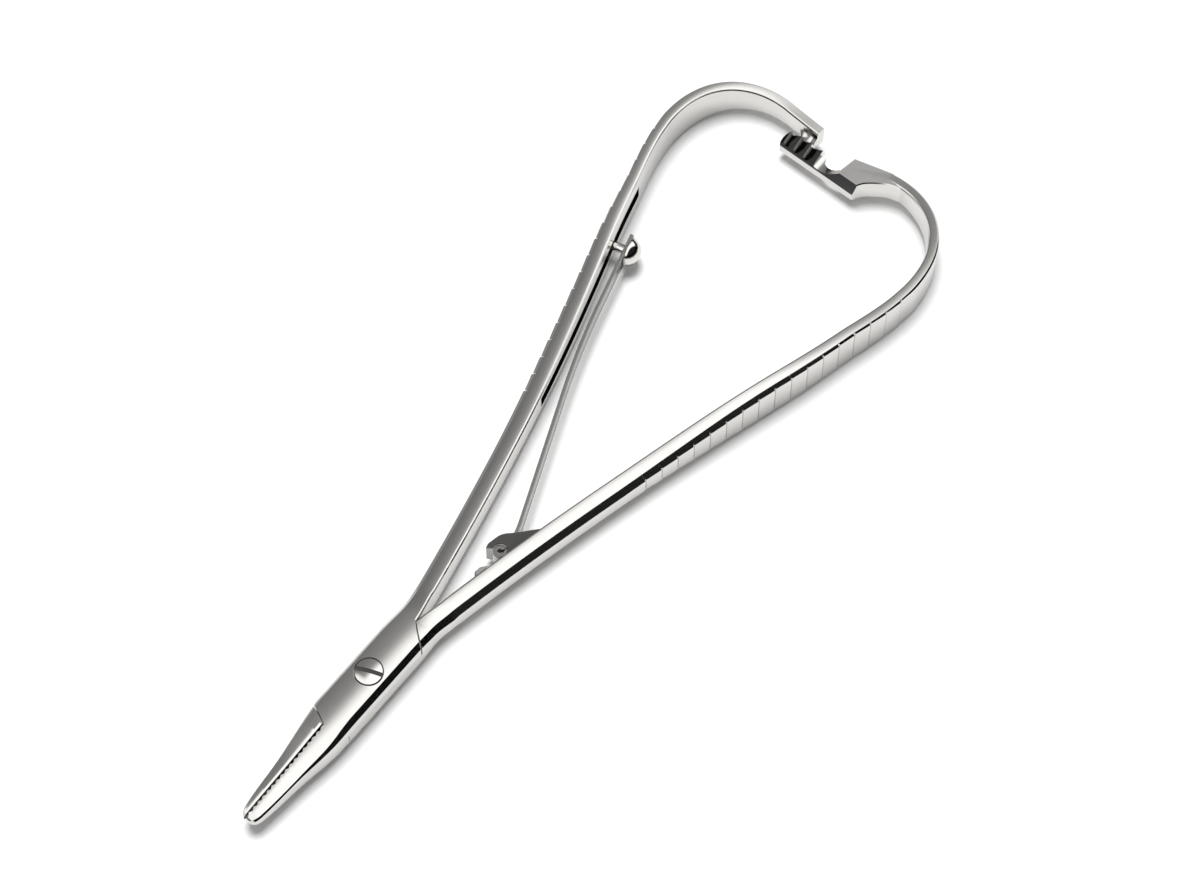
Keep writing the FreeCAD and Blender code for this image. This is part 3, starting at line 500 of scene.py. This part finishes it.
def about_eye(radius, angles):
    return EYE + radius * np.stack([np.cos(rad(angles)), np.sin(rad(angles))], 1)


crown = about_eye(2.57, np.linspace(118, 90, 8))
shoulder = smooth([crown[-1], (EYE[0] + 2.6, EYE[1] + 1.82), (37.3, -3.0), (40.5, -inner_y(40.5) - 0.2)], 8)
claw = np.vstack([crown, shoulder[1:], [(40.5, -inner_y(40.5) - 0.25), (31.2, -inner_y(31.2) - 0.25),
                 (EYE[0] - 0.4, EYE[1])], about_eye(1.37, np.array([118.0]))])
claw = move(plate("claw", claw, 2.3, 7.7, 0.12),
            lambda v: v - [0, 0, 1] * (np.maximum(v[:, 1:2] + 4.4, 0) * 0.15 + 0.05) * (v[:, 2:] > MIDDLE))
carve(lower, claw, "UNION")
root = smooth([(25.5, -inner_y(25.5) + 0.02), (28, -2.72), (30, -2.95), (33.3, -3.55), (34.9, -3.6),
               (36.6, -3.5), (37.5, -4.1), (39.2, -5.3), (42.5, -inner_y(42.5) + 0.02)], 5)
root = np.vstack([root, [(42.5, -inner_y(42.5) - 0.55), (25.5, -inner_y(25.5) - 0.55)]])
root = move(plate("claw_root", root, 2.4, 7.79, 0.1),
            lambda v: v + [0, 0, 0.17] * (v[:, 1:2] + inner_y(v[:, :1])) * (v[:, 2:] > MIDDLE))
carve(lower, root, "UNION")
carve(lower, plate("seat", about_eye(1.37, np.linspace(0, 360, 48, endpoint=False)), -5, 15))
places = np.array([0, 3.0, 5.0, 7.0, 11.0])
swing = rad(30.6)
turn = np.array([[np.cos(swing), np.sin(swing)], [-np.sin(swing), np.cos(swing)]])
sweep = np.vstack([[EYE], leaf_at(places, -0.5), (leaf_at(places[::-1], 0.5) - EYE) @ turn + EYE])
carve(lower, plate("leaf_slot", sweep, MIDDLE - 1.95, MIDDLE + 1.95))
lip = [(25.4, -inner_y(25.4) - 0.3), (26.7, -1.75), (28.0, -1.9), (30.4, -inner_y(30.4) - 0.3), (30.4, -4.35),
       (25.4, -3.95)]
carve(lower, plate("lip", lip, 3, 7, 0.15), "UNION")

# %% [markdown]
# The ratchet bar is a plate whose rim slopes, whose middle dips in a saddle beside the wide end
# of the strap, and whose far end carries four saw teeth that get shallower towards the rim.


# %% Ratchet bar
def strap(y, offset):
    s = CURL_END + trace(NECK, 11.2, LEGS, [CURL_END])[0][0, 1] + y
    x, y = along_handle([s], [offset])[0]
    return x, -y


hollow = arc((131.7, 0.9), (131.2, -0.75), (131.5, -2.9), 10)
flare = smooth([strap(-14, -0.97), (strap(-14, -0.97)[0] - 0.9, -11.4), (131.9, -8.3), (129.8, -6.9)], 8)
bar = np.vstack([arc((129.8, 10.0), (132.1, 9.65), (132.7, 8.1), 10), [(132.7, 1.3)], hollow,
                 [(134.9, -3.5)], [strap(-11, 0.97)], [strap(-14, 0)], flare])
ratchet = plate("ratchet", bar[::-1], 2.4, 7.6, 0.2)
dip = smooth([(2.2, 5.05), (1.0, 4.95), (-0.3, 5.2), (-1.6, 6.05), (-2.8, 7.15), (-3.5, 7.9)], 12)
dip = np.vstack([dip, [(-3.5, 12), (2.2, 12)]])
carve(ratchet, rings("saddle", [np.c_[np.full(len(dip), x), dip] for x in (127, 137)]))
rim = [[(129.8, y, 4.5), (130.9, y, 9.0), (128, y, 9.0), (128, y, 4.5)] for y in (-20, 20)]
carve(ratchet, rings("rim", rim))
saw = []
for x, crest, depth in ((128.8, 5.08, 0.32), (133.7, 7.62, 1.68)):
    outline = [(x, 2.2, crest)]
    for tooth in (1, 2, 3):
        outline += [(x, 2.2 + 2.3 * tooth, crest - depth), (x, 2.3 + 2.3 * tooth, crest - 0.05),
                    (x, 2.5 + 2.3 * tooth, crest)]
    saw.append(outline + [(x, 11.4, crest - depth), (x, 11.4, 12), (x, 2.2, 12)])
carve(ratchet, rings("saw", saw))
carve(lower, ratchet, "UNION")

# %% [markdown]
# ## Screw, spring and button


# %% Screw
top, ball = 8.7, (2.6 ** 2 + 0.4 ** 2) / 0.8
dome = [(r, top + 0.4 - ball + np.sqrt(ball ** 2 - r ** 2)) for r in np.linspace(2.44, 0.0, 12)]
dome[-1] = (1e-4, top + 0.4)
screw = lathe("screw", [(1e-4, 1.3), (1.5, 1.3), (1.5, 5.0), (1.8, 5.0), (1.8, 7.2), (2.54, 7.2), (2.54, 8.45),
                        (2.51, 8.62)] + dome)
slot_cut = block("slot_cut", (-6, -SLOT_HALF, 7.95), (6, SLOT_HALF, 12))
angle = SLOT_HEADING
move(slot_cut, lambda v: np.c_[v[:, 0] * np.cos(angle) - v[:, 1] * np.sin(angle),
                               v[:, 0] * np.sin(angle) + v[:, 1] * np.cos(angle), v[:, 2]])
carve(screw, slot_cut)

# %% Leaf spring with its rolled eye
def strip_ring(center, across, half_thickness, half_width, r=0.12):
    corners = [(half_thickness, half_width), (-half_thickness, half_width), (-half_thickness, -half_width),
               (half_thickness, -half_width)]
    out = []
    for (a, z), (sa, sz) in zip(corners, ((-1, -1), (1, -1), (1, 1), (-1, 1))):
        bend = [(a + sa * r * (1 - np.cos(t)), z + sz * r * (1 - np.sin(t)))
                for t in np.linspace(0, np.pi / 2, 4)]
        out += bend if sa * sz < 0 else bend[::-1]
    out = np.array(out)
    return np.c_[center + out[:, :1] * across, MIDDLE + out[:, 1]]


roll = np.linspace(-360 + 12 - 90 + 62, 12 - 90, 60)
stack = [strip_ring(p, about_eye(1, np.array([t]))[0] - EYE, -LEAF_HALF, 1.8)
         for p, t in zip(about_eye(LEAF_RADIUS, roll), roll)]
for s in np.linspace(0.1, LEAF_END, 140):
    p, h = trace(LEAF_START, 12.0, LEAF_LEGS, [s])
    stack.append(strip_ring(p[0], np.array([-np.sin(h[0]), np.cos(h[0])]), LEAF_HALF, 1.8))
leaf = rings("leaf", stack)

# %% Guide button
p, h = trace(LEAF_START, 12.0, LEAF_LEGS, [LEAF_END - 2.6])
ball = (2.65 ** 2 + 4.0) / 4.0
profile = [(1e-4, -2.75)]
for r in np.linspace(0.15, 2.6, 16):
    profile.append((r, -0.75 - 2.0 + ball - np.sqrt(ball ** 2 - r ** 2)))
profile += [(2.65, -0.72), (2.65, -0.45), (2.58, -0.35), (0.9, -0.35), (0.9, 3.0), (1.3, 3.0),
            (1.3, 3.6), (1e-4, 3.6)]
button = lathe("button", profile[::-1])
axis = np.array([-np.sin(h[0]), np.cos(h[0]), 0])
side_way = np.array([np.cos(h[0]), np.sin(h[0]), 0])
move(button, lambda v: np.r_[p[0], MIDDLE] + v[:, :1] * side_way + v[:, 1:2] * [0, 0, 1.0] + v[:, 2:] * axis)

# %% [markdown]
# ## Into the row frame
#
# Millimetres around the pivot become metres around the frame's origin. Faces that meet at a
# small angle are shaded smooth, and each finished piece stands for its CAD node.


# %% Finish the meshes
def settle(obj, node, body, angle=24.0):
    move(obj, lambda v: (v - [PIVOT_X, 0, 0]) / 1000)
    mesh = obj.data
    for face in mesh.polygons:
        face.use_smooth = True
    mesh.set_sharp_from_angle(angle=rad(angle))
    obj.name = node + "_finish"
    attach(obj, body)
    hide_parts(node)
    print(node, "has", len(mesh.polygons), "faces")
    return obj


# %% [markdown]
# Deep places collect little light, and that shade is painted into the colour: the bite, the guide
# groove, the slot of the screw and the notches of the ratchet, and also a painted dark reflection on
# a few sloped faces. Each face gets a number between 0 and 1 for how much is painted.


# %% Painted shade of each face
# Stores each face's share of painted shade as a face attribute, which the steel material reads.
def painted_shade(obj, rule):
    mesh = obj.data
    middles, normals = (np.empty(3 * len(mesh.polygons)) for _ in range(2))
    mesh.polygons.foreach_get("center", middles)
    mesh.polygons.foreach_get("normal", normals)
    values = np.clip(rule(middles.reshape(-1, 3), normals.reshape(-1, 3)), 0, 1)
    layer = mesh.attributes.new("painted_shade", "FLOAT", "FACE")
    layer.data.foreach_set("value", values.astype(np.float32))


def handle_place(points, side):
    """Path length and offset of points beside a handle."""
    places = np.arange(0, PATH_END, 0.25)
    path, headings = handle_path(places)
    gap = points[:, None, :2] * [1, side] - path[None]
    near = np.argmin(np.sum(gap ** 2, 2), 1)
    gap = gap[np.arange(len(points)), near]
    return places[near], gap[:, 1] * np.cos(headings[near]) - gap[:, 0] * np.sin(headings[near])


# Painted shade on the walls of the bite's crease.
def bite_shade(p, n, side):
    wall = np.abs(p[:, 1] + 0.12) < 0.45
    return wall & (p[:, 0] < -STEP_FRONT + 0.2) & (np.abs(n[:, 2]) < 0.5 + 0.6 * (side < 0) * (p[:, 1] < 0.17))


# Painted shadow on the walls of the lap steps, where the upper layer overhangs.
def step_shade(p, n):
    wall = (np.abs(n[:, 2]) < 0.3) & (np.abs(p[:, 1]) < 4.5) & (np.abs(p[:, 0]) > 7.7) & (np.abs(p[:, 0]) < 13.5)
    return 0.9 * (wall & (np.abs(n[:, 0]) > 0.25) & (p[:, 2] > MIDDLE))


# Painted shade in the guide groove, on the wall of the screw's seat and in the pawl's hollow.
def upper_shade(p, n):
    s, offset = handle_place(p, 1)
    inside = (offset + handle_thickness(s) / 2 > 0.04) & (offset < 0.9) & (np.abs(p[:, 2] - MIDDLE) < 1.72)
    seat = (np.abs(np.hypot(p[:, 0], p[:, 1]) - HEAD_SEAT) < 0.03) & (np.abs(n[:, 2]) < 0.2)
    pawl = (p[:, 0] > 131.5) & (p[:, 1] > 0.5) & (p[:, 1] < 6) & (n[:, 0] < -0.2) & (p[:, 2] < 6.7)
    return (0.8 * (inside & (s > 41) & (s < 90) & (n[:, 1] < 0.9)) + 0.9 * bite_shade(p, n, 1) + 0.8 * seat
            + 0.8 * pawl + step_shade(p, n))


# Painted shade in the bite, on the claw, round the spring's eye, on the lip and in the ratchet's teeth; on the
# ratchet's sloped rim it is a painted dark reflection.
def lower_shade(p, n):
    from_eye = np.hypot(p[:, 0] - EYE[0], p[:, 1] - EYE[1])
    beyond = p[:, 1] + inner_y(p[:, 0])
    claw = (p[:, 0] > 30.5) & (p[:, 0] < 37.6) & (beyond > 0.1) & (p[:, 2] < 7.72)
    lip = (p[:, 0] > 25) & (p[:, 0] < 27.3) & (beyond > 0.05)
    teeth = (p[:, 0] > 129) & (p[:, 1] > 2.1) & (n[:, 2] > 0.15) & (n[:, 2] < 0.985)
    rim = (p[:, 0] > 129) & (n[:, 0] < -0.5) & (n[:, 2] > 0.1) & (n[:, 2] < 0.5) & (p[:, 0] < 131.2)
    return (0.9 * bite_shade(p, n, -1) + 0.6 * claw + 0.9 * (from_eye < 1.4) + 0.8 * lip + 0.85 * teeth + 1.0 * rim
            + step_shade(p, n))


# Painted shade in the slot and on the side of the head inside its seat.
def screw_shade(p, n):
    across = np.abs(p[:, 0] * np.sin(SLOT_HEADING) - p[:, 1] * np.cos(SLOT_HEADING))
    slot = (across < SLOT_HALF + 0.01) & (p[:, 2] < 8.97) & (p[:, 2] > 7.9) & (np.hypot(p[:, 0], p[:, 1]) < 2.59)
    return 0.75 * slot + 0.95 * ((np.abs(n[:, 2]) < 0.8) & (np.hypot(p[:, 0], p[:, 1]) > 2.4))


# Painted shade is stored on the levers and the screw.
painted_shade(upper, upper_shade)
painted_shade(lower, lower_shade)
painted_shade(screw, screw_shade)
# The spring is darkened by the same share on every face, and the button not at all.
painted_shade(leaf, lambda p, n: 0.35 + 0 * p[:, 0])
painted_shade(button, lambda p, n: 0 * p[:, 0])

upper = settle(upper, "upper_lever", "upper")
lower = settle(lower, "lower_lever", "lower")
screw = settle(screw, "pivot_screw", "lower")
leaf = settle(leaf, "leaf_spring", "spring")
button = settle(button, "guide_button", "spring")

# %% [markdown]
# ## Shader arithmetic
#
# Shader maths is easier to read as a formula. This class wraps one socket, so that adding or
# multiplying two of them adds the Math node that does it.


# %% A shader value that behaves like a number
class Socket:
    def __init__(self, tree, output):
        self.tree, self.output = tree, output

    @staticmethod
    def node(tree, kind, settings=(), inputs=(), output=0):
        """Adds one node, first with its settings and then with the values or links of its inputs."""
        made = tree.nodes.new("ShaderNode" + kind)
        for name, value in dict(settings).items():
            setattr(made, name, value)
        for place, value in dict(inputs).items():
            if isinstance(value, Socket):
                tree.links.new(value.output, made.inputs[place])
            else:
                made.inputs[place].default_value = value
        return Socket(tree, made.outputs[output])

    def maths(self, kind, *values):
        return Socket.node(self.tree, "Math", {"operation": kind}, enumerate((self, *values)))

    def __add__(self, other):
        return self.maths("ADD", other)

    def __mul__(self, other):
        return self.maths("MULTIPLY", other)

    def __rsub__(self, other):
        return self * -1.0 + other

    def step(self, start, end, low=0.0, high=1.0):
        return Socket.node(self.tree, "MapRange", {"interpolation_type": "SMOOTHSTEP"},
                           {"Value": self, 1: start, 2: end, 3: low, 4: high}, "Result")

    def ramp(self, stops, top):
        """A grey ramp over -1 to 1. Its colours are shares of top, and the result is in full."""
        shade = Socket.node(self.tree, "ValToRGB", (), {"Fac": self * 0.5 + 0.5}, "Color")
        colors = shade.output.node.color_ramp.elements
        for place, value in stops[1:-1]:
            colors.new((place + 1) / 2)
        for stop, (place, value) in zip(colors, stops):
            stop.position = (place + 1) / 2
            stop.color = (value / top, value / top, value / top, 1)
        return shade * top


# %% [markdown]
# ## Steel
#
# All five pieces are bare stainless steel. The levers are satin: their roughness wanders a
# little and fine scratches run along the handles. Painted shade mixes deep places and a few
# dark faces towards a near-black.


# %% Materials
GRAIN_SCALE = (300, 6000, 6000)
# Painted shade: the near-black that shaded faces are mixed towards.
SHADE_BLACK = (0.03, 0.03, 0.03)


def steel(name, color, rough, vary, scratch):
    material = bpy.data.materials.new(name)
    material.use_nodes = True
    tree = material.node_tree
    shader = tree.nodes["Principled BSDF"]
    shader.inputs["Metallic"].default_value = 1.0
    shader.inputs["Base Color"].default_value = (*color, 1)
    place = Socket.node(tree, "TexCoord", output="Object")
    stretched = Socket.node(tree, "Mapping", (), {"Vector": place, "Scale": GRAIN_SCALE})
    grain = Socket.node(tree, "TexNoise", (), {"Vector": stretched, "Scale": 1.0, "Detail": 3.0}, "Fac")
    polish = Socket.node(tree, "MapRange", (),
                         {"Value": grain, "To Min": rough - vary, "To Max": rough + vary}, "Result")
    relief = Socket.node(tree, "Bump", (), {"Strength": scratch, "Distance": 1e-5, "Height": grain}, "Normal")
    # Painted shade: each face's share, read from its attribute, mixes the steel colour towards near-black.
    deep = Socket.node(tree, "Attribute", {"attribute_name": "painted_shade"}, output="Fac")
    shade = Socket.node(tree, "Mix", {"data_type": "RGBA"}, {0: deep, 6: (*color, 1), 7: (*SHADE_BLACK, 1)}, 2)
    for name, value in (("Base Color", shade), ("Roughness", polish), ("Normal", relief)):
        tree.links.new(value.output, shader.inputs[name])
    return material


lever_steel = steel("lever_steel", (0.61, 0.60, 0.58), 0.15, 0.04, 0.3)
for obj, material in ((upper, lever_steel), (lower, lever_steel),
                      (screw, steel("screw_steel", (0.64, 0.62, 0.60), 0.12, 0.03, 0.1)),
                      (leaf, steel("spring_steel", (0.52, 0.51, 0.49), 0.2, 0.05, 0.3)),
                      (button, steel("button_steel", (0.66, 0.64, 0.61), 0.07, 0.02, 0.05))):
    obj.data.materials.clear()
    obj.data.materials.append(material)

# %% [markdown]
# ## Table, light and camera
#
# The table is white. Overhead it is bright and near the horizon it is dark, which draws the
# black lines along the bevels.

# %% Floor
floor_mesh = bpy.data.meshes.new("floor")
floor_mesh.from_pydata([(-2, -2, -5e-5), (2, -2, -5e-5), (2, 2, -5e-5), (-2, 2, -5e-5)], [], [(0, 1, 2, 3)])
floor = bpy.data.objects.new("floor", floor_mesh)
bpy.context.scene.collection.objects.link(floor)
paint = bpy.data.materials.new("floor")
paint.use_nodes = True
paint.node_tree.nodes["Principled BSDF"].inputs["Base Color"].default_value = (0.9, 0.9, 0.9, 1)
paint.node_tree.nodes["Principled BSDF"].inputs["Roughness"].default_value = 1.0
paint.node_tree.nodes["Principled BSDF"].inputs["Specular IOR Level"].default_value = 0.0
floor_mesh.materials.append(paint)

# %% [markdown]
# ## Sky
#
# Steel shows what stands around it. A white panel hangs overhead, the far side is grey and the
# near side is dark. Rays that don't come from a mirror see less of it, so that the lamp's short
# shadow stays on the table.


# %% Sky: a bright panel overhead, grey on the far side, dark on the near side
world = bpy.data.worlds.new("studio")
bpy.context.scene.world = world
world.use_nodes = True
nodes, links = world.node_tree.nodes, world.node_tree.links
where = nodes.new("ShaderNodeTexCoord")
parts = nodes.new("ShaderNodeSeparateXYZ")
links.new(where.outputs["Generated"], parts.inputs["Vector"])
x, y, z = (Socket(world.node_tree, parts.outputs[k]) for k in "XYZ")
light = y.ramp([(-1, 0.02), (-0.5, 0.02), (-0.38, 1.7), (0.08, 1.7), (0.17, 1.05), (0.24, 0.6), (0.3, 0.42),
                (0.38, 0.35), (0.56, 0.26), (0.72, 0.24), (0.9, 0.36), (1, 0.36)], 1.7)
nodes["Background"].inputs["Color"].default_value = (1, 1, 1, 1)
light = light + (1.5 - light) * x.step(0.0, -0.2) * y.step(0.7, 0.5) * y.step(-0.5, -0.4)
rise = z.step(0.22, 0.5) + y.step(0.35, 0.6) * z.step(0.5, 0.22)
glossy = Socket.node(world.node_tree, "LightPath", output="Is Glossy Ray")
links.new((light * rise * (glossy * 0.55 + 0.45)).output, nodes["Background"].inputs["Strength"])

# %% [markdown]
# One wide lamp lights the table from almost straight above.


# %% Lamp for the table: steel doesn't mirror it
lamp_data = bpy.data.lights.new("table_lamp", "SUN")
lamp_data.energy, lamp_data.angle = 3.0, rad(24)
lamp = bpy.data.objects.new("table_lamp", lamp_data)
bpy.context.scene.collection.objects.link(lamp)
lamp.location = (0.1, 0.13, 1.0)
lamp.rotation_euler = (-lamp.location).to_track_quat("-Z", "Y").to_euler()
lamp.visible_glossy = False

# %% [markdown]
# ## Camera
#
# The camera stands where the photograph was taken from: a long lens, about 65 degrees above the
# table.


# %% Camera
camera_data = bpy.data.cameras.new("camera")
camera_data.lens = 120.0
camera_data.sensor_width = 36.0
camera_data.clip_end = 10
camera = bpy.data.objects.new("camera", camera_data)
bpy.context.scene.collection.objects.link(camera)
elevation, bearing, distance = 64.7, 51.11, 0.7143
aim = Vector(((59.32 - PIVOT_X) / 1000, -3.84 / 1000, 0.0087))
forward = Vector((np.sin(rad(bearing)), np.cos(rad(bearing)), 0))
camera.location = aim + distance * (Vector((0, 0, np.sin(rad(elevation)))) - forward * np.cos(rad(elevation)))
camera.rotation_euler = (aim - camera.location).to_track_quat("-Z", "Y").to_euler()
bpy.context.scene.camera = camera
bpy.context.scene.view_settings.view_transform = "Standard"
